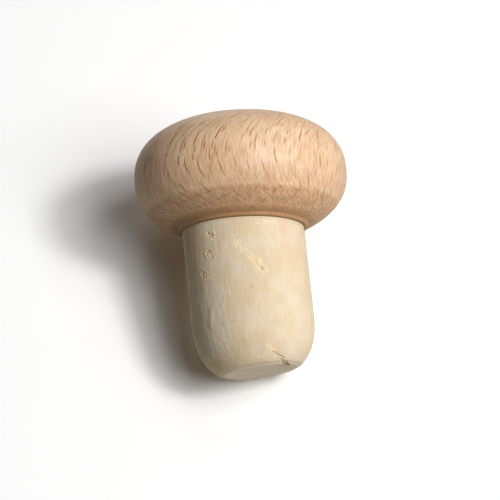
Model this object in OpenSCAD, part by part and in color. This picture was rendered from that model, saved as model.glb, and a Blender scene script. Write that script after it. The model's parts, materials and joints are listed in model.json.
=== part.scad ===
// Bottle stopper: a turned beech head glued onto a natural cork shank.
// It stands on the flat cut end of the shank, and the origin is the centre of that end.
// The end was cut a little out of square and the head was glued on a little askew,
// so the shank leans off +Z and the head leans off the shank.

/* [Head] */
// Diameter of the head at its widest
head_d = 35; // [30:0.5:60]
// Height of the crown above the widest line
crown_h = 10.3; // [6:0.1:20]
// Fullness of the crown, where 2 is an ellipse and more is squarer
crown_fullness = 2.46; // [2:0.02:4]
// Height of the widest line above the rim's face
belly_h = 8.75; // [6:0.05:16]
// Fullness of the belly, below the widest line
belly_fullness = 2.24; // [2:0.02:4]
// Lean of the head off the shank's axis, towards +X, in degrees
head_lean = 3.25; // [0:0.25:5]

/* [Rim round the socket] */
// How far the rim stands out past the shank
rim_w = 0.7; // [0.3:0.05:1.5]
// How far the rim stands down from the belly
rim_h = 0.5; // [0.2:0.05:1.2]

/* [Shank] */
// Diameter of the cork shank
shank_d = 20; // [16:0.5:26]
// Length of the shank along its axis, from the cut end to the rim
shank_l = 23.75; // [18:0.25:40]
// How far the rounded tip draws in from the wall
round_w = 7.25; // [2:0.25:7.5]
// Length of the rounded tip, before it was cut flat
round_h = 9.55; // [4:0.05:12]
// Fullness of the rounded tip, where 2 is an ellipse
round_fullness = 2.3; // [2:0.05:3]
// Length of tip that the flat cut took off, along the shank's axis
tip_cut = 0.9; // [0.3:0.05:2]
// Slant of the flat cut, in degrees off square
cut_slant = 2.8; // [0:0.1:4]
// Direction that the slant leans the shank, in degrees from +X towards +Y
slant_turn = 45; // [0:5:355]

/* [Socket] */
// Depth of the blind socket in the head
socket_depth = 5; // [3:0.25:8]
// How much narrower the socket is than the shank, which is squeezed in, on the diameter
squeeze = 0.5; // [0.4:0.05:1.2]
// Length over which the squeezed shank narrows, just below the rim
neck_h = 0.4; // [0.2:0.1:2]
// Glue round the cork in the socket, on the radius
glue = 0.05; // [0.02:0.01:0.2]

/* [Chip at the cut end] */
// Width of the chip round the edge of the cut end
chip_w = 4; // [1:0.25:6]
// Height of the chip up the tip
chip_h = 2.8; // [1:0.1:5]
// Depth of the chip at the edge
chip_depth = 0.6; // [0.2:0.05:1.5]
// Place of the chip round the shank, in degrees from +X towards +Y
chip_turn = -58; // [-180:1:180]

/* [Hidden] */
curve_steps = 24;
head_r = head_d / 2;
shank_r = shank_d / 2;
rim_r = shank_r + rim_w;
socket_r = shank_r - squeeze / 2;
tenon_r = socket_r - glue;
// Depth at which the belly's curve would reach the head's axis
belly_reach = (belly_h - rim_h) / pow(1 - pow(rim_r / head_r, belly_fullness), 1 / belly_fullness);
// Angle along the belly's curve at which it meets the rim
belly_start = acos(pow(rim_r / head_r, belly_fullness / 2));
// How far the leaning rim dips below its centre
rim_dip = rim_r * sin(head_lean);
// Top of the shank's straight wall, clear of the rim's lowest point
wall_top = shank_l - rim_dip - neck_h;
// Radius of the flat that the cut leaves, where it is square
cut_r = shank_r - round_w
    + round_w * pow(1 - pow((round_h - tip_cut) / round_h, round_fullness), 1 / round_fullness);
$fn = 96;

// A point on a quarter of a superellipse: 0 degrees lies at the width, 90 at the height
function quarter(w, h, fullness, a) = [w * pow(cos(a), 2 / fullness), h * pow(sin(a), 2 / fullness)];

// Tips its children over by an angle, towards a direction round the Z axis
module lean(angle, towards = 0) {
    rotate([0, 0, towards])
        rotate([0, angle, 0])
            rotate([0, 0, -towards])
                children();
}

// Places its children on the shank's own axis, which leans off the cut end
module along_shank() {
    lean(cut_slant, slant_turn)
        children();
}

// Places its children on the head's own axis, at the rim's face
module along_head() {
    along_shank()
        translate([0, 0, shank_l])
            lean(head_lean)
                children();
}

// The turned outside of the head: rim, belly and crown
module head_turning() {
    belly = [
        for (i = [0:curve_steps - 1])
            let (p = quarter(head_r, belly_reach, belly_fullness, belly_start * (1 - i / curve_steps)))
                [p[0], belly_h - p[1]]
    ];
    crown = [
        for (i = [0:curve_steps])
            let (p = quarter(head_r, crown_h, crown_fullness, 90 * i / curve_steps))
                [p[0], belly_h + p[1]]
    ];
    rotate_extrude()
        polygon(concat([[0, 0], [rim_r, 0]], belly, crown));
}

// The cork before its tip is cut flat: rounded tip, straight wall, neck and tenon
module shank_turning() {
    tip = [
        for (i = [0:curve_steps])
            let (p = quarter(round_w, round_h, round_fullness, 90 - 90 * i / curve_steps))
                [shank_r - round_w + p[0], round_h - tip_cut - p[1]]
    ];
    rotate_extrude()
        polygon(concat(
            [[0, -tip_cut]],
            tip,
            [
                [shank_r, wall_top],
                [tenon_r, wall_top + neck_h],
                [tenon_r, shank_l + socket_depth],
                [0, shank_l + socket_depth],
            ]
        ));
}

// A jagged flake broken out of the edge of the cut end
module chip() {
    along_shank()
        rotate([0, 0, chip_turn])
            translate([cut_r - chip_depth, 0, 0])
                rotate([0, atan2(shank_r - cut_r, round_h - tip_cut), 0])
                    rotate([90, 0, 90])
                        linear_extrude(height = shank_r)
                            polygon([
                                [-chip_w / 2, -chip_h],
                                [-chip_w / 2, chip_h / 2],
                                [-chip_w / 3, chip_h],
                                [-chip_w / 6, chip_h / 2],
                                [chip_w / 4, chip_h / 3],
                                [chip_w / 2, -chip_h],
                            ]);
}

module head() {
    color("burlywood")
        difference() {
            along_head()
                head_turning();
            along_shank()
                translate([0, 0, shank_l - 2 * rim_dip])
                    cylinder(r = socket_r, h = socket_depth + 2 * rim_dip);
        }
}

module shank() {
    color("antiquewhite")
        difference() {
            along_shank()
                shank_turning();
            // what the flat cut took off
            translate([0, 0, -round_h])
                cylinder(r = shank_d, h = round_h);
            chip();
        }
}

head();
shank();
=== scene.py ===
import json
import math
import random

import bmesh
import bpy
from mathutils import Matrix, Vector, kdtree, noise


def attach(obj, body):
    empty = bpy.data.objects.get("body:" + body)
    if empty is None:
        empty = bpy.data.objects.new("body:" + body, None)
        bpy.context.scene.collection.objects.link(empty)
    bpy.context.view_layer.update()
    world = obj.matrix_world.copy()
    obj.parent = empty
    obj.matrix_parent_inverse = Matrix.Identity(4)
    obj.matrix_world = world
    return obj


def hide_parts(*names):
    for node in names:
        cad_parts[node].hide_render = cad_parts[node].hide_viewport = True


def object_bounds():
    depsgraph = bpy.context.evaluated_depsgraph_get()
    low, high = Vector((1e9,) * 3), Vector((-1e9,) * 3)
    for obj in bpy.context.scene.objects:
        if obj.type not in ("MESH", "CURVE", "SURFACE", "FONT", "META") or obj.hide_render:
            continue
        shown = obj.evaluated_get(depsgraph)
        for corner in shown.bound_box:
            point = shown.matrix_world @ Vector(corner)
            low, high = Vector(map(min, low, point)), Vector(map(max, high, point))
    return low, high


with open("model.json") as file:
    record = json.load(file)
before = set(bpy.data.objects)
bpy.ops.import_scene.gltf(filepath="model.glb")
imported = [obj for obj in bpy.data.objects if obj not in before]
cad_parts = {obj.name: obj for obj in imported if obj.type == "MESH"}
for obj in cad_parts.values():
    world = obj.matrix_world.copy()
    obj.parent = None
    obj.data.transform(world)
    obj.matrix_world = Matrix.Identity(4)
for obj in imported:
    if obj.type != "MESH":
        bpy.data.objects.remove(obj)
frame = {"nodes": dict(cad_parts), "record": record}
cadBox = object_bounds()
scene = bpy.context.scene
mm = 0.001  # everything is modelled in millimetres and scaled once
print("frame loaded:", sorted(frame["nodes"]))


def leanOver(angle, towards=0.0):
    turn = Matrix.Rotation(math.radians(towards), 4, "Z")
    return turn @ Matrix.Rotation(math.radians(angle), 4, "Y") @ turn.inverted()


corkShape = {
    "across": 20.0,
    "length": 23.75,         # cut end to rim, along the shank
    "roundWidth": 7.25,      # how far the tip draws in
    "roundHeight": 9.55,
    "roundFullness": 2.3,
    "tipCut": 0.9,
    "tenonRadius": 9.7,
    "tenonLength": 4.9,
    "topRound": 0.09,        # soft corner under the rim
    "aroundSteps": 320,
    "tipSteps": 56,
    "wallSteps": 96,
    "faceRings": 14,
    "edgeWear": 0.2,         # how far the edge of the cut is rubbed back
    "edgeReach": 0.5,        # and how wide
    "faceRadius": 6.8,       # about the radius of the cut face
}

headShape = {
    "across": 34.98,
    "crownHeight": 10.29,
    "crownFullness": 2.46,
    "bellyHeight": 8.75,     # rim face to widest line
    "bellyFullness": 2.24,
    "lean": 3.25,
    "rimRadius": 10.7,
    "rimHeight": 0.5,
    "rimRound": 0.38,
    "mouthRadius": 10.06,
    "socketRadius": 9.76,
    "socketDepth": 5.0,
    "arrisDrop": 4.95,       # faint tool ridge below the widest line
    "arrisFlat": 0.033,
    "curveSteps": 76,
    "aroundSteps": 320,
}

wallMount = next(m for m in frame["record"]["mounts"] if m["name"] == "shank_wall")
shankUp = -Vector(wallMount["axis"])
shankFrame = leanOver(
    math.degrees(shankUp.angle(Vector((0, 0, 1)))),
    math.degrees(math.atan2(shankUp.y, shankUp.x)),
)
headFrame = (
    shankFrame
    @ Matrix.Translation((0, 0, corkShape["length"]))
    @ leanOver(headShape["lean"])
)


def smoothStep(low, high, value):
    t = min(max((value - low) / (high - low), 0.0), 1.0)
    return t * t * (3 - 2 * t)


def quarterCurve(width, height, fullness, angle):  # superellipse: 0 is the width, 90 the height
    a = math.radians(angle)
    across = max(math.cos(a), 0.0) ** (2 / fullness)
    up = max(math.sin(a), 0.0) ** (2 / fullness)
    return width * across, height * up


def spinOutline(outline, steps):  # outline is (radius, height) points, turned round Z
    bm = bmesh.new()
    chain = [bm.verts.new((r, 0, z)) for r, z in outline]
    edges = [bm.edges.new(pair) for pair in zip(chain, chain[1:])]
    bmesh.ops.spin(
        bm, geom=chain + edges, cent=(0, 0, 0), axis=(0, 0, 1), dvec=(0, 0, 0),
        angle=2 * math.pi, steps=steps, use_merge=True,
    )
    bmesh.ops.remove_doubles(bm, verts=bm.verts, dist=1e-4)
    bmesh.ops.recalc_face_normals(bm, faces=bm.faces)
    return bm


def finishPiece(name, bm, node, material):
    mesh = bpy.data.meshes.new(name)
    bmesh.ops.recalc_face_normals(bm, faces=bm.faces)
    bm.to_mesh(mesh)
    bm.free()
    mesh.transform(Matrix.Scale(mm, 4))
    for face in mesh.polygons:
        face.use_smooth = True
    mesh.materials.append(material)
    piece = bpy.data.objects.new(name, mesh)
    scene.collection.objects.link(piece)
    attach(piece, "root")
    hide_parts(node)
    triangles = sum(len(face.vertices) - 2 for face in mesh.polygons)
    print(name, "has", triangles, "triangles")
    return piece


def plug(tree, socket, value):
    if isinstance(value, bpy.types.NodeSocket):
        tree.links.new(value, socket)
    else:
        socket.default_value = value


def addNode(tree, kind, inputs=(), **settings):
    node = tree.nodes.new(kind)
    for name, value in settings.items():
        setattr(node, name, value)
    pairs = inputs.items() if isinstance(inputs, dict) else enumerate(inputs)
    for key, value in pairs:
        plug(tree, node.inputs[key], value)
    return node


def calc(tree, operation, *values, clamp=False):
    return addNode(tree, "ShaderNodeMath", values, operation=operation, use_clamp=clamp).outputs[0]


def vectorCalc(tree, operation, *values):
    node = addNode(tree, "ShaderNodeVectorMath", values, operation=operation)
    return node.outputs["Value" if operation in ("LENGTH", "DISTANCE", "DOT_PRODUCT") else "Vector"]


def ramp(tree, value, low, high, toLow=0.0, toHigh=1.0):  # eased from one range to another
    inputs = {"Value": value, "From Min": low, "From Max": high, "To Min": toLow, "To Max": toHigh}
    return addNode(tree, "ShaderNodeMapRange", inputs, interpolation_type="SMOOTHSTEP").outputs[0]


def mixColour(tree, factor, below, above, blend="MIX"):
    node = addNode(tree, "ShaderNodeMix", data_type="RGBA", blend_type=blend, clamp_factor=True)
    plug(tree, node.inputs["Factor"], factor)
    for socket, value in zip([s for s in node.inputs if s.type == "RGBA"], (below, above)):
        plug(tree, socket, value)
    return next(s for s in node.outputs if s.type == "RGBA")


def grey(tree, value):  # a tone as a colour, to multiply another colour with
    return addNode(tree, "ShaderNodeCombineXYZ", (value,) * 3).outputs[0]


def noiseValue(tree, vector, scale, detail=2.0, roughness=0.5):
    inputs = {"Vector": vector, "Scale": scale, "Detail": detail, "Roughness": roughness}
    return addNode(tree, "ShaderNodeTexNoise", inputs).outputs[0]


def placed(tree, matrix):  # object coordinates, in millimetres, in the frame of a matrix
    coords = addNode(tree, "ShaderNodeTexCoord").outputs["Object"]
    into = matrix.inverted()
    inputs = {"Vector": coords, "Location": into.translation, "Rotation": into.to_euler(),
              "Scale": (1 / mm,) * 3}
    return addNode(tree, "ShaderNodeMapping", inputs, vector_type="POINT").outputs[0]


def newGroup(name, inputs, outputs):
    group = bpy.data.node_groups.new(name, "ShaderNodeTree")
    for label, kind, default in inputs:
        socket = group.interface.new_socket(label, in_out="INPUT", socket_type="NodeSocket" + kind)
        socket.default_value = default
    for label, kind in outputs:
        group.interface.new_socket(label, in_out="OUTPUT", socket_type="NodeSocket" + kind)
    return group, group.nodes.new("NodeGroupInput").outputs, group.nodes.new("NodeGroupOutput").inputs


def useGroup(tree, group, inputs):
    node = addNode(tree, "ShaderNodeGroup", node_tree=group)
    for label, value in inputs.items():
        plug(tree, node.inputs[label], value)
    return node.outputs


# noise drawn out to a size on each axis: wood fibre and the growth lines of cork
def makeStreaks():
    group, inputs, outputs = newGroup(
        "streaks",
        [("Vector", "Vector", (0, 0, 0)), ("Size", "Vector", (0.3, 0.3, 3.0)), ("Detail", "Float", 3.0)],
        [("Value", "Float")],
    )
    scaled = vectorCalc(group, "DIVIDE", inputs["Vector"], inputs["Size"])
    plug(group, outputs["Value"], noiseValue(group, scaled, 1.0, inputs["Detail"], 0.6))
    return group


# scattered lens-shaped marks, at most one to a cell: the ray flecks of beech
def makeLensMarks():
    group, inputs, outputs = newGroup(
        "lensMarks",
        [("Vector", "Vector", (0, 0, 0)), ("Spacing", "Vector", (2, 12, 3)),
         ("Half Size", "Vector", (0.1, 5, 0.8)), ("Share", "Float", 0.7), ("Softness", "Float", 0.5)],
        [("Mask", "Float")],
    )
    cells = vectorCalc(group, "DIVIDE", inputs["Vector"], inputs["Spacing"])
    voronoi = addNode(group, "ShaderNodeTexVoronoi", {"Vector": cells, "Scale": 1.0},
                      feature="F1", voronoi_dimensions="3D")
    away = vectorCalc(group, "SUBTRACT", cells, voronoi.outputs["Position"])
    away = vectorCalc(group, "MULTIPLY", away, inputs["Spacing"])
    away = vectorCalc(group, "DIVIDE", away, inputs["Half Size"])
    reach = vectorCalc(group, "LENGTH", away)
    draw = addNode(group, "ShaderNodeSeparateColor", (voronoi.outputs["Color"],)).outputs
    reach = calc(group, "DIVIDE", reach, calc(group, "MULTIPLY_ADD", draw[1], 0.5, 0.6))
    inner = calc(group, "SUBTRACT", 1.0, inputs["Softness"])
    body = ramp(group, reach, inner, 1.0, 1.0, 0.0)
    chosen = calc(group, "LESS_THAN", draw[0], inputs["Share"])
    strength = calc(group, "MULTIPLY_ADD", draw[2], 0.6, 0.4)
    mask = calc(group, "MULTIPLY", calc(group, "MULTIPLY", body, chosen), strength)
    plug(group, outputs["Mask"], mask)
    return group


streaks = makeStreaks()
lensMarks = makeLensMarks()


beech = {
    "colour": (0.76, 0.497, 0.302, 1),
    "paleColour": (0.82, 0.57, 0.36, 1),
    "pinkColour": (0.73, 0.44, 0.28, 1),
    "endColour": (0.61, 0.358, 0.198, 1),
    "fleckColour": (0.32, 0.112, 0.016, 1),
    "ringColour": (0.45, 0.20, 0.09, 1),
    # painted shade: the dark brown of the head's lowest part, where it meets the cork
    "rimShadeColour": (0.38, 0.195, 0.08, 1),
    "stainColour": (0.60, 0.26, 0.09, 1),
    "roughness": 0.41,
    "rayTurn": 49.5,         # direction of the rays, round the head's axis
    "grainTilt": 5.2,        # how far the fibres lean off the head's axis, across the rays
    "pithDistance": 45.0,    # the rays fan out from the heart of the tree, the rings go round it
    # growth rings: one near the head's middle, the rest closer together outwards
    "firstRing": -2.0,
    "ringGap": 3.6,
    "outwardShrink": 0.82,
    "heartShrink": 0.92,
    "outwardRings": 7,
    "heartRings": 6,
    # ray flecks: dashes over the turned side, in two sizes, each (spacing, half size, share, softness)
    "sideFlecks": [
        ((2.6, 1.0, 4.2), (0.18, 50.0, 2.0), 0.85, 0.45),
        ((1.9, 1.0, 2.3), (0.14, 50.0, 0.9), 0.3, 0.45),
    ],
    "fleckLean": 0.07,       # how fast the dashes lean over, by the height
    # and on the crown and everywhere, across, along and up the rays
    "crownFlecks": ((2.2, 5.0, 4.2), (0.15, 2.0, 2.1), 0.8, 0.4),
    "fineFlecks": ((0.8, 8.0, 2.2), (0.08, 2.4, 0.7), 0.8, 0.7),
    "fineStrength": 0.5,
    # one orange streak runs down the front
    "stain": {"turn": -102, "top": 0.5, "bottom": -3.5, "steps": 4, "slant": -5,
              "halfSize": (0.30, 4.0, 1.5)},
}

widestFrame = headFrame @ Matrix.Translation((0, 0, headShape["bellyHeight"]))
grainFrame = (
    widestFrame
    @ Matrix.Rotation(math.radians(beech["rayTurn"] - 90), 4, "Z")
    @ Matrix.Rotation(math.radians(beech["grainTilt"]), 4, "Y")
)


def bellyReach():
    share = (headShape["rimRadius"] * 2 / headShape["across"]) ** headShape["bellyFullness"]
    drop = headShape["bellyHeight"] - headShape["rimHeight"]
    return drop / (1 - share) ** (1 / headShape["bellyFullness"])


def headRadiusAt(height):  # height over the widest line
    reach = headShape["crownHeight"] if height > 0 else bellyReach()
    fullness = headShape["crownFullness" if height > 0 else "bellyFullness"]
    return headShape["across"] / 2 * (1 - (abs(height) / reach) ** fullness) ** (1 / fullness)


def headOutline():
    s = headShape
    radius = s["across"] / 2
    startAngle = math.degrees(math.acos((s["rimRadius"] / radius) ** (s["bellyFullness"] / 2)))
    points = [(0, s["socketDepth"]), (s["socketRadius"] * 0.5, s["socketDepth"])]
    points += [(s["socketRadius"], s["socketDepth"]), (s["socketRadius"], 1.0),
               (s["socketRadius"], 0.3), (s["mouthRadius"], 0.0)]
    for step in range(7):
        a = math.radians(90 * step / 6)
        points.append((s["rimRadius"] - s["rimRound"] * (1 - math.sin(a)),
                       s["rimRound"] * 1.2 * (1 - math.cos(a))))
    for step in range(1, s["curveSteps"]):
        angle = startAngle * (1 - step / s["curveSteps"])
        r, drop = quarterCurve(radius, bellyReach(), s["bellyFullness"], angle)
        ridge = math.exp(-((drop - s["arrisDrop"]) / 0.35) ** 2)
        flat = s["arrisFlat"] * (1 - ridge) * smoothStep(2.2, 0.0, abs(drop - s["arrisDrop"]))
        points.append((r - flat, s["bellyHeight"] - drop))
    for step in range(s["curveSteps"] + 1):
        r, rise = quarterCurve(radius, s["crownHeight"], s["crownFullness"],
                               90 * step / s["curveSteps"])
        points.append((r, s["bellyHeight"] + rise))
    return points


def intoWood(place):  # grain coordinates with the fan of the rays and the bend of the rings taken out
    away = beech["pithDistance"]
    x, y, z = grainFrame.inverted() @ place
    return Vector((away * math.atan2(x, away - y), away - math.hypot(x, away - y), z))


def woodCoords(tree):  # the same as intoWood, as nodes
    away = beech["pithDistance"]
    x, y, z = addNode(tree, "ShaderNodeSeparateXYZ", (placed(tree, grainFrame),)).outputs
    out = calc(tree, "SUBTRACT", away, y)
    across = calc(tree, "MULTIPLY", calc(tree, "ARCTAN2", x, out), away)
    flat = addNode(tree, "ShaderNodeCombineXYZ", (x, out, 0.0)).outputs[0]
    along = calc(tree, "SUBTRACT", away, vectorCalc(tree, "LENGTH", flat))
    return addNode(tree, "ShaderNodeCombineXYZ", (across, along, z)).outputs[0]


def ringPlaces():  # distances from the head's middle, less than zero towards the bark
    places = []
    place, gap = beech["firstRing"], beech["ringGap"]
    for _ in range(beech["outwardRings"]):
        places.append(place)
        place -= gap
        gap *= beech["outwardShrink"]
    place, gap = beech["firstRing"], beech["ringGap"]
    for _ in range(beech["heartRings"]):
        place += gap
        gap *= beech["heartShrink"]
        places.append(place)
    return places


def stainPlaces():  # the streak as overlapping lenses down a slanting line
    stain = beech["stain"]
    for step in range(stain["steps"]):
        share = step / (stain["steps"] - 1)
        yield (stain["turn"] + stain["slant"] * share,
               stain["top"] + (stain["bottom"] - stain["top"]) * share, 1 - 0.2 * share)


def stainMask(tree, wood):
    halfSize = beech["stain"]["halfSize"]
    scaled = vectorCalc(tree, "DIVIDE", wood, halfSize)
    nearest = None
    for turn, up, strength in stainPlaces():
        r = headRadiusAt(up)
        a = math.radians(turn)
        centre = intoWood(widestFrame @ Vector((r * math.cos(a), r * math.sin(a), up)))
        reach = vectorCalc(tree, "DISTANCE", scaled, [c / h for c, h in zip(centre, halfSize)])
        reach = calc(tree, "ADD", reach, (1 - strength) * 0.5)
        nearest = reach if nearest is None else calc(tree, "MINIMUM", nearest, reach)
    return ramp(tree, nearest, 0.1, 1.0, 0.7, 0.0)


def ringMask(tree, wood, endGrain):  # growth rings, clearest where the grain is cut across
    along = addNode(tree, "ShaderNodeSeparateXYZ", (wood,)).outputs[1]
    uneven = calc(tree, "MULTIPLY_ADD", noiseValue(tree, wood, 0.6, 2.0), 0.5, -0.25)
    along = calc(tree, "ADD", along, uneven)
    nearest = None
    for distance in ringPlaces():
        gap = calc(tree, "ABSOLUTE", calc(tree, "SUBTRACT", along, distance))
        nearest = gap if nearest is None else calc(tree, "MINIMUM", nearest, gap)
    line = calc(tree, "MULTIPLY", ramp(tree, nearest, 0.04, 0.15, 1.0, 0.0),
                ramp(tree, noiseValue(tree, wood, 1.3, 1.0), 0.35, 0.6, 0.4, 1.0))
    return calc(tree, "MULTIPLY", calc(tree, "MULTIPLY_ADD", endGrain, 0.50, 0.03), line)


def fibreMask(tree, wood):  # fine rays lie in sheets, so they show as straight hair lines
    across = addNode(tree, "ShaderNodeSeparateXYZ", (wood,)).outputs[0]
    raySheets = useGroup(tree, streaks, {"Vector": wood, "Size": (0.15, 1.5, 2.2), "Detail": 1.0})[0]
    ringSheets = useGroup(tree, streaks, {"Vector": wood, "Size": (1.5, 0.16, 2.2), "Detail": 1.0})[0]
    flatSawn = ramp(tree, calc(tree, "ABSOLUTE", across), 14.2, 16.6)
    return addNode(tree, "ShaderNodeMix", {"Factor": flatSawn, "A": raySheets, "B": ringSheets}).outputs[0]


def woodTone(tree, fibre, turned, place, endGrain):  # dark and light of fibres and pores
    crown = ramp(tree, place[2], 3.5, 7.5, 1.0, 0.35)
    sides = ramp(tree, calc(tree, "ABSOLUTE", place[0]), 5.0, 14.0, 1.0, 1.4)
    crown = calc(tree, "MULTIPLY", crown, sides)
    pores = noiseValue(tree, turned, 4.2, 2.0, 0.6)
    fibreTone = calc(tree, "MULTIPLY_ADD", ramp(tree, fibre, 0.27, 0.73, -0.17, 0.14), crown, 1.01)
    fibreTone = calc(tree, "MULTIPLY", fibreTone, ramp(tree, pores, 0.36, 0.64, 0.95, 1.05))
    poreTone = calc(tree, "MULTIPLY", ramp(tree, pores, 0.36, 0.64, 0.83, 1.14),
                    ramp(tree, fibre, 0.30, 0.70, 0.78, 1.20))
    tone = addNode(tree, "ShaderNodeMix", {"Factor": endGrain, "A": fibreTone, "B": poreTone}).outputs[0]
    # darker fibres are redder too
    return vectorCalc(tree, "MULTIPLY_ADD", grey(tree, tone), (0.85, 1.0, 1.22), (0.15, 0.0, -0.22))


def fleckLayer(tree, vector, layer):
    labels = ("Spacing", "Half Size", "Share", "Softness")
    return useGroup(tree, lensMarks, {"Vector": vector, **dict(zip(labels, layer))})[0]


def overSide(tree, place):  # the side laid flat: arc round the head, less the grain's lean, and arc up
    reach = headShape["across"] / 2
    flat = addNode(tree, "ShaderNodeCombineXYZ", (place[0], place[1], 0.0)).outputs[0]
    fromAxis = vectorCalc(tree, "LENGTH", flat)
    # the arc is measured from the front, so that its seam is at the back
    arc = calc(tree, "ARCTAN2", place[0], calc(tree, "MULTIPLY", place[1], -1.0))
    arc = calc(tree, "MULTIPLY", arc, reach)
    arcUp = calc(tree, "MULTIPLY", calc(tree, "ARCTAN2", place[2], fromAxis), reach)
    leaning = calc(tree, "MULTIPLY", calc(tree, "MULTIPLY", arcUp, arcUp), beech["fleckLean"])
    across = calc(tree, "SUBTRACT", arc, leaning)
    return addNode(tree, "ShaderNodeCombineXYZ", (across, 0.0, arcUp)).outputs[0], arcUp


def fleckMask(tree, wood, place):  # leaning dashes over the side, cut rays on the crown, a fine set
    onSide, arcUp = overSide(tree, place)
    large, small = [fleckLayer(tree, onSide, layer) for layer in beech["sideFlecks"]]
    side = calc(tree, "MULTIPLY", calc(tree, "MAXIMUM", large, small),
                ramp(tree, arcUp, 9.0, 12.0, 1.0, 0.0))
    crown = calc(tree, "MULTIPLY", fleckLayer(tree, wood, beech["crownFlecks"]),
                 ramp(tree, arcUp, 8.0, 11.0))
    fine = calc(tree, "MULTIPLY", fleckLayer(tree, wood, beech["fineFlecks"]), beech["fineStrength"])
    return calc(tree, "MAXIMUM", calc(tree, "MAXIMUM", side, crown), fine)


def makeBeech():
    material = bpy.data.materials.new("beech")
    material.use_nodes = True
    tree = material.node_tree
    shader = tree.nodes["Principled BSDF"]
    wood = woodCoords(tree)              # X across the rays, Y along them, Z along the fibres
    turned = placed(tree, widestFrame)   # Z is the head's own axis, from the widest line
    place = addNode(tree, "ShaderNodeSeparateXYZ", (turned,)).outputs
    height = place[2]

    # the fibres wander a little
    wander = addNode(tree, "ShaderNodeTexNoise", {"Vector": wood, "Scale": 0.14, "Detail": 1.0})
    shift = vectorCalc(tree, "SUBTRACT", wander.outputs["Color"], (0.5, 0.5, 0.5))
    shift = vectorCalc(tree, "MULTIPLY", shift, (0.12, 1.4, 0.0))
    wood = vectorCalc(tree, "ADD", wood, shift)

    colour = mixColour(tree, ramp(tree, noiseValue(tree, wood, 0.12, 2.0), 0.35, 0.65),
                       beech["colour"], beech["paleColour"])
    pink = ramp(tree, noiseValue(tree, wood, 0.3, 2.0, 0.6), 0.42, 0.68)
    colour = mixColour(tree, calc(tree, "MULTIPLY", pink, 0.7), colour, beech["pinkColour"])

    # below the faint ridge the grain is cut across and looks darker and pinker
    endGrain = ramp(tree, height, -headShape["arrisDrop"] - 0.5, -headShape["arrisDrop"] + 0.3,
                    1.0, 0.0)
    colour = mixColour(tree, calc(tree, "MULTIPLY", endGrain, 0.75), colour, beech["endColour"])

    colour = mixColour(tree, ringMask(tree, wood, endGrain), colour, beech["ringColour"])
    fibre = fibreMask(tree, wood)
    colour = mixColour(tree, 1.0, colour, woodTone(tree, fibre, turned, place, endGrain), "MULTIPLY")

    # a pale line is painted along the ridge as its painted highlight, the tool left rings near the rim, and
    # the rim is painted darker brown as painted shade where the head meets the cork
    ridgeHighlight = calc(tree, "ABSOLUTE", calc(tree, "ADD", height, headShape["arrisDrop"] - 0.35))
    ridgeHighlight = calc(tree, "MULTIPLY", ramp(tree, ridgeHighlight, 0.04, 0.16, 1.0, 0.0),
                  ramp(tree, noiseValue(tree, turned, 0.35, 1.0), 0.40, 0.60, 0.05, 0.4))
    colour = mixColour(tree, ridgeHighlight, colour, beech["paleColour"])
    turning = noiseValue(tree, vectorCalc(tree, "MULTIPLY", turned, (0.02, 0.02, 1.0)), 1.5, 2.0, 0.6)
    turning = ramp(tree, turning, 0.38, 0.62, -0.09, 0.09)
    turning = calc(tree, "MULTIPLY_ADD", turning, ramp(tree, height, -7.8, -5.6, 1.0, 0.0), 1.0)
    colour = mixColour(tree, 1.0, colour, grey(tree, turning), "MULTIPLY")
    # painted shade: the lowest millimetre of the head, in the crevice by the cork, is darkened
    rimShadeZone = ramp(tree, height, 0.5 - headShape["bellyHeight"], 1.6 - headShape["bellyHeight"], 0.8, 0.0)
    colour = mixColour(tree, rimShadeZone, colour, beech["rimShadeColour"])

    colour = mixColour(tree, stainMask(tree, wood), colour, beech["stainColour"])
    fleck = fleckMask(tree, wood, place)
    fleckDepth = ramp(tree, place[0], -14.0, 12.0, 0.95, 0.70)
    fleckDepth = calc(tree, "MULTIPLY", fleckDepth, ramp(tree, endGrain, 0.0, 1.0, 1.0, 1.25), clamp=True)
    colour = mixColour(tree, calc(tree, "MULTIPLY", fleck, fleckDepth), colour, beech["fleckColour"])

    rough = ramp(tree, fibre, 0.25, 0.75, beech["roughness"] - 0.05, beech["roughness"] + 0.08)
    relief = calc(tree, "MULTIPLY_ADD", fleck, -0.6, calc(tree, "MULTIPLY", fibre, 0.5))
    bump = addNode(tree, "ShaderNodeBump", {"Height": relief, "Strength": 0.7, "Distance": 0.08 * mm})
    plug(tree, shader.inputs["Base Color"], colour)
    plug(tree, shader.inputs["Roughness"], rough)
    plug(tree, shader.inputs["Normal"], bump.outputs[0])
    shader.inputs["Specular IOR Level"].default_value = 0.38
    return material


headMesh = spinOutline(headOutline(), headShape["aroundSteps"])
socketVerts = [v for v in headMesh.verts
               if v.co.xy.length < headShape["socketRadius"] + 0.01
               and v.co.z < headShape["socketDepth"] + 0.01]
bmesh.ops.rotate(headMesh, verts=socketVerts, cent=(0, 0, 0),
                 matrix=Matrix.Rotation(math.radians(-headShape["lean"]), 3, "Y"))
headMesh.transform(headFrame)
head = finishPiece("head_turned", headMesh, "head", makeBeech())


cork = {
    "colour": (0.728, 0.59, 0.387, 1),
    "paleColour": (0.77, 0.66, 0.49, 1),
    "pinkColour": (0.75, 0.545, 0.368, 1),
    "yellowColour": (0.90, 0.745, 0.47, 1),
    "rustColour": (0.56, 0.37, 0.19, 1),
    # the dark of holes, cracks and tears: partly the cork's own dark dust, partly painted shade in the
    # hollows
    "pitDarkAndShadeColour": (0.33, 0.22, 0.12, 1),
    # painted shade colour, for the band just under the head's rim
    "underRimShadeColour": (0.45, 0.34, 0.24, 1),
    # the cut's own pale colour, raised further as painted light on a face the lamps barely reach
    "cutPaleAndLitColour": (0.86, 0.775, 0.64, 1),
    "yellowCut": (0.78, 0.66, 0.46, 1),
    "roughness": 0.9,
    "softSwell": 0.035,      # slow unevenness of the whole wall
    "wrinkle": 0.014,        # fine ridges along the shank
    "wrinkleTurn": -132,     # and where they are strongest
    "smoothFace": 7.6,       # radius within which the cut face stays smooth
}

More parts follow.
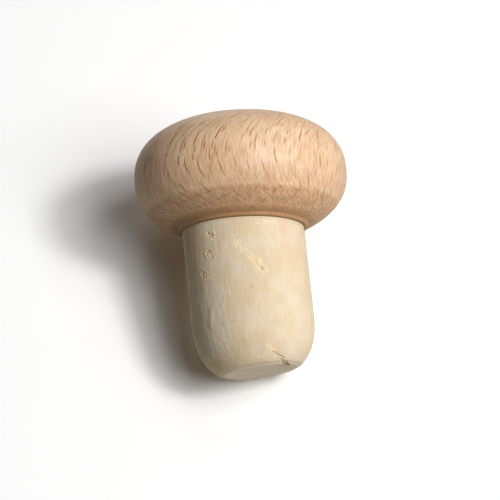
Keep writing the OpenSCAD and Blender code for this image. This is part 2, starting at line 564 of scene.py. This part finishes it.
# What each kind of mark does: how ragged its edge is, how scaly its floor, and its share of each tint
markKinds = {
    # the dark tint of holes, cracks, tears and scratches is partly the cork's own dark dust and partly
    # painted shade in these hollows
    "pit": {"ragged": 0.6, "scaly": 0.5, "pitDarkAndShadeTint": 0.10, "yellowTint": 0.25},
    "hole": {"ragged": 0.5, "scaly": 0.2, "pitDarkAndShadeTint": 0.30},
    "crack": {"ragged": 0.5, "scaly": 0.3, "pitDarkAndShadeTint": 0.55},
    "tear": {"ragged": 0.6, "scaly": 0.4, "pitDarkAndShadeTint": 0.75},
    "scratch": {"ragged": 0.5, "scaly": 0.3, "pitDarkAndShadeTint": 0.15},
    "flake": {"ragged": 0.7, "scaly": 0.6, "yellowTint": 0.65},
    "swell": {"ragged": 0.3, "scaly": 0.0},
    "bruise": {"ragged": 0.9, "scaly": 1.0, "rustTint": 0.12, "yellowTint": 0.30},
    "yellow": {"ragged": 0.9, "scaly": 1.0, "yellowTint": 0.6},
    "rust": {"ragged": 0.6, "scaly": 0.5, "rustTint": 0.6},
    "blush": {"ragged": 0.6, "scaly": 0.0, "rustTint": 0.2},
}

# Places on the wall are (turn, height over the cut end). A height below zero is on the cut face.
corkWear = {
    "seed": 5,
    # worm pits go down and round the wall in a row
    "pits": 3,
    "pitStart": (-124, 21.5),
    "pitStep": (-6, -3),
    "pitAcross": 2.2,
    # a crust of yellow crumbs slants down over the front and widens
    "crustStart": (-98, 19.5),
    "crustEnd": (-77, 15),
    "crustHalfWidth": 0.9,
    "rimCrumbs": 7,
    # the edge of the cut is torn at the solid's chip
    "tearTurn": -58,
    "tearSpread": 14,
    "crumbTop": 2.6,         # heights at which the crumbs and the crack begin
    "crackTop": 1.5,
    "tears": 5,
    "tearDrop": 0.35,        # from one tear to the next
    # small wear is scattered over the front, more of it to the left
    "frontTurns": (-165, -35),
    "frontHeights": (1.5, 22.0),
    "scratches": 9,
    "rustDots": 4,
    "blushes": 4,
    "folds": 4,
    "stains": 2,
    "stainTurns": (-168, -148),
}


def between(start, end, share):
    return tuple(a + (b - a) * share for a, b in zip(start, end))


def wormPit(turn, height, across, draw):  # a rough patch with dark specks and pale crumbs
    yield "bruise", turn - 3, height, turn + 3, height, across * 0.38, 0.06
    for kind, count, halfWidth, depth in (("hole", 4, 0.17, 0.14), ("flake", 5, 0.28, -0.09)):
        for _ in range(count):
            t = turn + draw.uniform(-2.6, 2.6) * across
            h = height + draw.uniform(-0.4, 0.4) * across
            size = halfWidth * draw.uniform(0.8, 1.25)
            yield kind, t, h, t + draw.uniform(0.5, 2.5), h - draw.uniform(0.1, 0.4), size, depth


def crust(start, end, halfWidth, draw):  # crumbs along a line, wider towards its end
    length = (onWall(*end) - onWall(*start)).length
    count = max(int(length * 3), 3)
    for step in range(count):
        share = (step + draw.uniform(0.1, 0.9)) / count
        reach = halfWidth * (0.6 + 0.6 * share)
        t, h = between(start, end, share)
        t += draw.uniform(-4, 4) * reach
        h += draw.uniform(-0.5, 0.5) * reach
        yield "yellow", t - 1.5, h, t + 1.5, h, reach * draw.uniform(0.4, 0.9), 0.02
        t += draw.uniform(-4, 4) * reach
        h += draw.uniform(-0.5, 0.5) * reach
        yield "flake", t, h, t + 2, h - 0.3, draw.uniform(0.16, 0.36) * reach, -0.09
    above = halfWidth * 0.9
    yield "scratch", start[0], start[1] + above, end[0], end[1] + above, 0.08, 0.05


def jagged(kind, start, end, steps, halfWidth, depth, draw):  # a broken line that widens on its way
    before = start
    for step in range(1, steps + 1):
        turn, height = between(start, end, step / steps)
        stray = draw.uniform(-0.12, 0.12) if step < steps else 0
        growth = 0.7 + 0.6 * step / steps
        yield kind, *before, turn, height + stray, halfWidth * growth, depth * growth
        before = turn, height + stray


def tornEdge(draw):  # crumbs over a crack that runs down to the cut edge, and tears in over the edge
    w = corkWear
    turn, spread = w["tearTurn"], w["tearSpread"]
    yield from crust((turn - 1.5 * spread, w["crumbTop"]), (turn - spread / 2, 0.7), 0.5, draw)
    crackEnd = turn + spread / 3, 0.6
    yield from jagged("crack", (turn - spread, w["crackTop"]), crackEnd, 4, 0.11, 0.15, draw)
    yield "bruise", turn, 0.4, turn + spread, -0.6, 0.6, 0.05
    yield "bruise", turn + spread, -0.5, turn + 2 * spread, -1.0, 0.5, 0.04
    for step in range(w["tears"]):
        start = turn + spread * step * 0.3, 0.5 - w["tearDrop"] * step
        end = start[0] + spread, start[1] - 0.3
        yield from jagged("tear", start, end, 2, 0.17, 0.15, draw)
    yield from jagged("tear", (turn + spread, 0), (turn + 2.7 * spread, -1.2), 3, 0.17, 0.12, draw)


def scattered(count, draw):  # places over the front, more of them to the left
    left, right = corkWear["frontTurns"]
    for _ in range(count):
        turn = left + (right - left) * draw.random() ** 1.8
        yield turn, draw.uniform(*corkWear["frontHeights"])


def wearMarks(draw):  # (kind, turn, height, turn, height, half width, depth): strokes on the wall
    w = corkWear
    marks = list(tornEdge(draw))
    marks += crust(w["crustStart"], w["crustEnd"], w["crustHalfWidth"], draw)
    patchEnd = w["crustStart"][0] + 5, w["crustStart"][1]
    marks += crust(w["crustStart"], patchEnd, w["crustHalfWidth"], draw)
    for _ in range(w["rimCrumbs"]):
        turn = draw.uniform(w["crustEnd"][0], w["tearTurn"])
        height = corkShape["length"] - draw.uniform(0.9, 1.7)
        marks.append(("flake", turn, height, turn + 2, height - 0.2, 0.14, -0.06))
        marks.append(("yellow", turn, height, turn + 2, height, 0.3, 0.02))
    marks.append(("rust", *w["crustEnd"], w["crustEnd"][0] + 1, w["crustEnd"][1] - 0.3, 0.36, 0.10))
    for step in range(w["pits"]):
        turn = w["pitStart"][0] + w["pitStep"][0] * step
        height = w["pitStart"][1] + w["pitStep"][1] * step
        marks += wormPit(turn, height, w["pitAcross"] * draw.uniform(0.85, 1.15), draw)
    for turn, height in scattered(w["scratches"], draw):
        marks.append(("flake", turn, height + 0.5, turn - 1, height - 0.5, 0.11, -0.06))
        marks.append(("scratch", turn + 1.2, height + 0.3, turn, height - 0.5, 0.09, 0.06))
    for turn, height in scattered(w["rustDots"], draw):
        marks.append(("rust", turn, height, turn + 0.5, height - 0.2, 0.28, 0.01))
    for turn, height in scattered(w["blushes"], draw):
        marks.append(("blush", turn - 2, height + 0.6, turn + 1, height - 0.6, 1.1, 0.0))
    for turn, height in scattered(w["folds"], draw):
        marks.append(("swell", turn, height + 1.3, turn - 3, height - 1.3, 0.9, -0.05))
    for _, height in scattered(w["stains"], draw):
        turn = draw.uniform(*w["stainTurns"])
        marks.append(("yellow", turn, height, turn + 10, height - 0.4, 0.6, 0.04))
        marks.append(("scratch", turn, height, turn + 9, height - 0.4, 0.12, 0.08))
    return marks


# pits on the sides and the back
backPits = {"seed": 11, "count": 16, "turns": (-15, 215), "heights": (3.0, 22.0), "depth": 0.28}


def tipReach(height):  # how far the wall stands from the axis at a height
    s = corkShape
    drop = max(s["roundHeight"] - s["tipCut"] - height, 0.0)
    inside = (1 - (drop / s["roundHeight"]) ** s["roundFullness"]) ** (1 / s["roundFullness"])
    return s["across"] / 2 - s["roundWidth"] * (1 - inside)


def edgeLift(away):  # how far the worn edge is lifted, by the distance from it
    return corkShape["edgeWear"] * (1 - min(away / corkShape["edgeReach"], 1.0)) ** 2


def onWall(turn, height):  # heights below zero run in over the cut face
    a = math.radians(turn)
    r = tipReach(max(height, 0.0)) + min(height, 0.0)
    place = shankFrame @ Vector((r * math.cos(a), r * math.sin(a), max(height, 0.0)))
    place.z = place.z + edgeLift(max(place.z, 0.0)) if height >= 0 else edgeLift(-height)
    return place


def corkOutline():
    s = corkShape
    radius = s["across"] / 2
    top = s["length"]
    points = [(0, -s["tipCut"])]
    for step in range(s["tipSteps"] + 1):
        r, drop = quarterCurve(s["roundWidth"], s["roundHeight"], s["roundFullness"],
                               90 - 90 * step / s["tipSteps"])
        points.append((radius - s["roundWidth"] + r, s["roundHeight"] - s["tipCut"] - drop))
    wallStart = s["roundHeight"] - s["tipCut"]
    wallEnd = top - s["topRound"]
    for step in range(1, s["wallSteps"] + 1):
        points.append((radius, wallStart + (wallEnd - wallStart) * step / s["wallSteps"]))
    for step in range(1, 5):
        a = math.radians(90 * step / 4)
        points.append((radius - (radius - s["tenonRadius"]) * (1 - math.cos(a)),
                       wallEnd + s["topRound"] * math.sin(a)))
    for depth in (0.5, 2.0, s["tenonLength"]):
        points.append((s["tenonRadius"], top + depth))
    points += [(s["tenonRadius"] * 0.5, top + s["tenonLength"]), (0, top + s["tenonLength"])]
    return points


def makeShank():
    s = corkShape
    bm = spinOutline(corkOutline(), s["aroundSteps"])
    # the top of the wall follows the leaning rim
    slope = math.tan(math.radians(headShape["lean"]))
    for v in bm.verts:
        near = smoothStep(s["length"] - 8, s["length"] - 0.5, v.co.z)
        v.co.z -= v.co.x * slope * near
    bm.transform(shankFrame)
    bmesh.ops.bisect_plane(bm, geom=bm.verts[:] + bm.edges[:] + bm.faces[:], dist=1e-5,
                           plane_co=(0, 0, 0), plane_no=(0, 0, 1), clear_inner=True)
    rim = [e for e in bm.edges if e.is_boundary]
    for v in bm.verts:
        v.co.z += edgeLift(v.co.z)
    centre = sum((v.co for e in rim for v in e.verts), Vector()) / (2 * len(rim))
    for ring in range(1, s["faceRings"] + 1):
        made = bmesh.ops.extrude_edge_only(bm, edges=rim)["geom"]
        newVerts = [g for g in made if isinstance(g, bmesh.types.BMVert)]
        rim = [g for g in made if isinstance(g, bmesh.types.BMEdge) and g.is_boundary]
        before = 1 - ((ring - 1) / s["faceRings"]) ** 1.5
        after = 1 - (ring / s["faceRings"]) ** 1.5
        size = after / before if ring < s["faceRings"] else 0.0
        bmesh.ops.scale(bm, vec=(size, size, 1), space=Matrix.Translation(-centre), verts=newVerts)
        for v in newVerts:
            v.co.z = edgeLift((1 - after) * s["faceRadius"])
    bmesh.ops.remove_doubles(bm, verts=bm.verts, dist=1e-4)
    bmesh.ops.recalc_face_normals(bm, faces=bm.faces)
    return bm


def allMarks():
    marks = wearMarks(random.Random(corkWear["seed"]))
    draw = random.Random(backPits["seed"])
    for _ in range(backPits["count"]):
        turn, height = draw.uniform(*backPits["turns"]), draw.uniform(*backPits["heights"])
        size = draw.uniform(0.25, 0.8)
        depth = backPits["depth"] * size * draw.uniform(0.7, 1.4)
        marks.append(("pit", turn, height, turn + draw.uniform(-3, 3), height - size, size, depth))
        marks.append(("hole", turn + 2, height, turn + 2, height - size / 2, size * 0.3, depth * 0.7))
    return marks


def vertsAlong(tree, start, end, reach):  # every vertex near a stroke, with its distance from it
    span = end - start
    for co, index, _ in tree.find_range((start + end) / 2, span.length / 2 + reach):
        share = min(max((co - start).dot(span) / max(span.length_squared, 1e-9), 0.0), 1.0)
        away = (co - start - span * share).length
        if away < reach:
            yield index, away


def vertexTree(bm):
    bm.verts.ensure_lookup_table()
    tree = kdtree.KDTree(len(bm.verts))
    for v in bm.verts:
        tree.insert(v.co, v.index)
    tree.balance()
    return tree


def refineMarks(bm, marks, widest):  # halves the mesh where a mark is narrower than widest
    bm.verts.index_update()
    tree = vertexTree(bm)
    chosen = set()
    for _, turn, height, turnTo, heightTo, halfWidth, depth in marks:
        if halfWidth < widest and depth:
            reach = halfWidth * 1.5 + 0.15
            for index, _ in vertsAlong(tree, onWall(turn, height), onWall(turnTo, heightTo), reach):
                chosen.add(index)
    edges = [e for e in bm.edges if e.verts[0].index in chosen and e.verts[1].index in chosen]
    bmesh.ops.subdivide_edges(bm, edges=edges, cuts=1, use_grid_fill=True)


def weatherShank(bm, marks):
    tints = {name: bm.verts.layers.float.new(name)
             for name in ("pitDarkAndShadeTint", "yellowTint", "rustTint")}
    bm.normal_update()
    bm.verts.index_update()
    tree = vertexTree(bm)
    offsets = [0.0] * len(bm.verts)
    for kind, turn, height, turnTo, heightTo, halfWidth, depth in marks:
        settings = markKinds[kind]
        seed = Vector((turn, height, halfWidth * 40))
        for index, away in vertsAlong(tree, onWall(turn, height), onWall(turnTo, heightTo), halfWidth * 1.8):
            v = bm.verts[index]
            rough = noise.noise(v.co * (0.9 / halfWidth) ** 0.5 * 1.6 + seed)
            inside = 1 - away / (halfWidth * (1 + settings["ragged"] * rough))
            if inside <= 0:
                continue
            body = inside * inside * (3 - 2 * inside)
            scales = 1 - settings["scaly"] * (0.9 + 1.4 * noise.noise(v.co * 3.1 + seed))
            offsets[index] -= depth * body * scales
            for name, layer in tints.items():
                tint = settings.get(name, 0.0) * smoothStep(0.0, 0.6, inside)
                v[layer] = max(v[layer], tint)
    intoShank = shankFrame.inverted()
    top = corkShape["length"] - 0.5
    slope = math.tan(math.radians(headShape["lean"]))
    for v in bm.verts:
        place = intoShank @ v.co
        turn = math.degrees(math.atan2(place.y, place.x))
        apart = abs((turn - cork["wrinkleTurn"] + 180) % 360 - 180)
        strong = 1 + 0.8 * smoothStep(40, 8, apart)
        swell = noise.noise(place * 0.2) * cork["softSwell"] + noise.noise(place * 0.55) * 0.012
        long = Vector((place.x / 0.7, place.y / 0.7, place.z / 2.6))
        short = Vector((place.x / 0.36, place.y / 0.36, place.z / 1.1))
        ridges = (noise.noise(long) + 0.8 * noise.noise(short)) * cork["wrinkle"] * strong
        onFace = place.xy.length < cork["smoothFace"] and v.normal.z < -0.9
        shift = offsets[v.index] + (0.2 * swell if onFace else swell + ridges)
        shift *= smoothStep(top + 0.5, top, place.z + place.x * slope)  # none at the rim
        v.co += v.normal * shift
        v.co.z = max(v.co.z, 0.0)


def makeCorkMaterial():
    material = bpy.data.materials.new("cork")
    material.use_nodes = True
    tree = material.node_tree
    shader = tree.nodes["Principled BSDF"]
    place = placed(tree, shankFrame)
    colour = mixColour(tree, ramp(tree, noiseValue(tree, place, 0.22, 3.0, 0.6), 0.35, 0.65),
                       cork["colour"], cork["paleColour"])
    pink = ramp(tree, noiseValue(tree, vectorCalc(tree, "MULTIPLY", place, (1, 1, 0.6)), 0.32, 3.0, 0.6),
                0.42, 0.72)
    colour = mixColour(tree, calc(tree, "MULTIPLY", pink, 0.7), colour, cork["pinkColour"])
    line = useGroup(tree, streaks, {"Vector": place, "Size": (0.35, 0.35, 3.0), "Detail": 4.0})[0]
    lineTone = ramp(tree, line, 0.3, 0.7, 0.97, 1.03)
    colour = mixColour(tree, 1.0, colour, grey(tree, lineTone), "MULTIPLY")
    grain = noiseValue(tree, place, 3.5, 4.0, 0.65)
    crumble = ramp(tree, grain, 0.3, 0.7, 0.6, 1.3)
    # the cut face is paler than the wall, with yellow blotches: partly the fresh cut's own colour, partly
    # painted light, since the lamps barely reach this downward face
    coords = addNode(tree, "ShaderNodeTexCoord").outputs["Object"]
    height = addNode(tree, "ShaderNodeSeparateXYZ", (coords,)).outputs[2]
    cut = ramp(tree, height, 0.02 * mm, 0.22 * mm, 1.0, 0.0)
    blotch = ramp(tree, noiseValue(tree, place, 0.35, 3.0, 0.6), 0.40, 0.62)
    cutPaleAndLitColour = mixColour(tree, calc(tree, "MULTIPLY", blotch, 0.7), cork["cutPaleAndLitColour"], cork["yellowCut"])
    colour = mixColour(tree, calc(tree, "MULTIPLY", cut, 0.85), colour, cutPaleAndLitColour)
    # the darkest tint darkens holes, cracks, tears and scratches: partly the cork's own dark dust, partly
    # painted shade in these hollows
    for name, colourName in (("yellowTint", "yellowColour"), ("rustTint", "rustColour"),
                             ("pitDarkAndShadeTint", "pitDarkAndShadeColour")):
        tint = addNode(tree, "ShaderNodeAttribute", attribute_name=name).outputs["Fac"]
        colour = mixColour(tree, calc(tree, "MULTIPLY", tint, crumble), colour, cork[colourName])
    # and the wall is painted darker just under the rim: painted shade where the head's rim overhangs the
    # cork
    down = addNode(tree, "ShaderNodeSeparateXYZ", (placed(tree, headFrame),)).outputs[2]
    colour = mixColour(tree, ramp(tree, down, -0.9, 0.0, 0.0, 0.2), colour, cork["underRimShadeColour"])
    relief = calc(tree, "MULTIPLY_ADD", line, 0.4, calc(tree, "MULTIPLY", grain, 0.7))
    bump = addNode(tree, "ShaderNodeBump", {"Height": relief, "Strength": 0.95, "Distance": 0.10 * mm})
    plug(tree, shader.inputs["Base Color"], colour)
    plug(tree, shader.inputs["Normal"], bump.outputs[0])
    shader.inputs["Roughness"].default_value = cork["roughness"]
    shader.inputs["Specular IOR Level"].default_value = 0.25
    return material


shankMesh = makeShank()
shankMarks = allMarks()
refineMarks(shankMesh, shankMarks, 1.0)
refineMarks(shankMesh, shankMarks, 0.4)
weatherShank(shankMesh, shankMarks)
shank = finishPiece("shank_cork", shankMesh, "shank", makeCorkMaterial())


studio = {
    "tableTilt": 18.7,       # how far the backdrop leans from upright, to touch head and tip
    "tableSize": 1.2,
    "tableWhite": 1.09,      # what the camera sees where nothing shades it
    "tableBounce": 0.56,     # what the object gets back
    "floorGap": 0.2,
    "surround": 0.012,
    # (name, turn from the front, height in degrees, distance, width, height, level)
    "lamps": [
        ("key", 34, 3, 1.2, 0.18, 0.18, 0.34),
        ("lowKey", 30, -8, 1.2, 0.55, 0.55, 0.34),
        ("window", 25, 4, 1.2, 0.70, 0.70, 0.24),
        ("highKey", 30, 12, 1.2, 0.40, 0.40, 0.19),
        ("lowFill", 100, -25, 0.8, 0.40, 0.40, 0.15),
        ("sideFill", 105, 35, 0.8, 0.40, 0.40, 0.08),
        ("topFill", 28, 48, 0.8, 0.40, 0.40, 0.08),
        ("backFill", 180, 40, 0.8, 0.60, 0.60, 0.45),
    ],
}


def makeStageMaterial(name, bounce):
    material = bpy.data.materials.new(name)
    material.use_nodes = True
    tree = material.node_tree
    tree.nodes.remove(tree.nodes["Principled BSDF"])
    output = tree.nodes["Material Output"]
    isCamera = addNode(tree, "ShaderNodeLightPath").outputs["Is Camera Ray"]
    colour = mixColour(tree, isCamera, (bounce, bounce * 0.97, bounce * 0.90, 1),
                       (studio["tableWhite"],) * 3 + (1,))
    diffuse = addNode(tree, "ShaderNodeBsdfDiffuse", {"Color": colour})
    clear = addNode(tree, "ShaderNodeBsdfTransparent")
    behind = addNode(tree, "ShaderNodeNewGeometry").outputs["Backfacing"]
    mixed = addNode(tree, "ShaderNodeMixShader", (behind, diffuse.outputs[0], clear.outputs[0]))
    tree.links.new(mixed.outputs[0], output.inputs["Surface"])
    return material


def addPlane(name, size, placement, material):
    bm = bmesh.new()
    bmesh.ops.create_grid(bm, x_segments=1, y_segments=1, size=size / 2, matrix=placement)
    mesh = bpy.data.meshes.new(name)
    bm.to_mesh(mesh)
    bm.free()
    mesh.materials.append(material)
    plane = bpy.data.objects.new(name, mesh)
    scene.collection.objects.link(plane)
    return plane


tableTilt = math.radians(studio["tableTilt"])
tableUp = Vector((0, -math.cos(tableTilt), math.sin(tableTilt)))
behindMost = min(v.co.dot(tableUp) for piece in (head, shank) for v in piece.data.vertices)
tablePlace = Matrix.Translation(tableUp * behindMost) @ tableUp.to_track_quat("Z", "Y").to_matrix().to_4x4()
tablePaper = makeStageMaterial("tablePaper", studio["tableBounce"])
table = addPlane("table", studio["tableSize"], tablePlace, tablePaper)
table.visible_shadow = False

floorPlace = Matrix.Translation((0, 0, -studio["floorGap"] * mm))
floor = addPlane("floor", studio["tableSize"], floorPlace, makeStageMaterial("floorPaper", 0.8))
floor.visible_diffuse = False
floor.visible_glossy = False
floor.visible_transmission = False
floor.visible_shadow = False

middle = (cadBox[0] + cadBox[1]) / 2


def towards(turn, up):  # a direction: turn 0 is the front, 90 the right
    a, e = math.radians(turn), math.radians(up)
    return Vector((math.sin(a) * math.cos(e), -math.cos(a) * math.cos(e), math.sin(e)))


for name, turn, up, distance, width, height, level in studio["lamps"]:
    data = bpy.data.lights.new(name, "AREA")
    data.shape = "RECTANGLE"
    data.size = width
    data.size_y = height
    data.energy = level * (math.pi * distance) ** 2
    lamp = bpy.data.objects.new(name, data)
    lamp.location = middle + towards(turn, up) * distance
    lamp.rotation_euler = towards(turn, up).to_track_quat("Z", "Y").to_euler()
    lamp.visible_camera = False
    scene.collection.objects.link(lamp)

world = bpy.data.worlds.new("surround")
world.use_nodes = True
scene.world = world
tree = world.node_tree
isCamera = addNode(tree, "ShaderNodeLightPath").outputs["Is Camera Ray"]
surround = mixColour(tree, isCamera, (studio["surround"],) * 3 + (1,), (1, 1, 1, 1))
tree.links.new(surround, tree.nodes["Background"].inputs["Color"])

view = {
    "aim": (1.473, 1.478, 20.484),
    "distance": 600.0,
    "turn": -0.44,
    "up": -11.42,
    "roll": 8.31,
    "lens": 263.5,
}
camData = bpy.data.cameras.new("camera")
camData.lens = view["lens"]
camData.sensor_width = 36.0
camera = bpy.data.objects.new("camera", camData)
back = towards(view["turn"], view["up"])
camera.location = (Vector(view["aim"]) + back * view["distance"]) * mm
camera.rotation_euler = (
    back.to_track_quat("Z", "Y").to_matrix() @ Matrix.Rotation(math.radians(-view["roll"]), 3, "Z")
).to_euler()
scene.collection.objects.link(camera)
scene.camera = camera
scene.view_settings.view_transform = "Standard"
print("stage, lamps and camera are set")
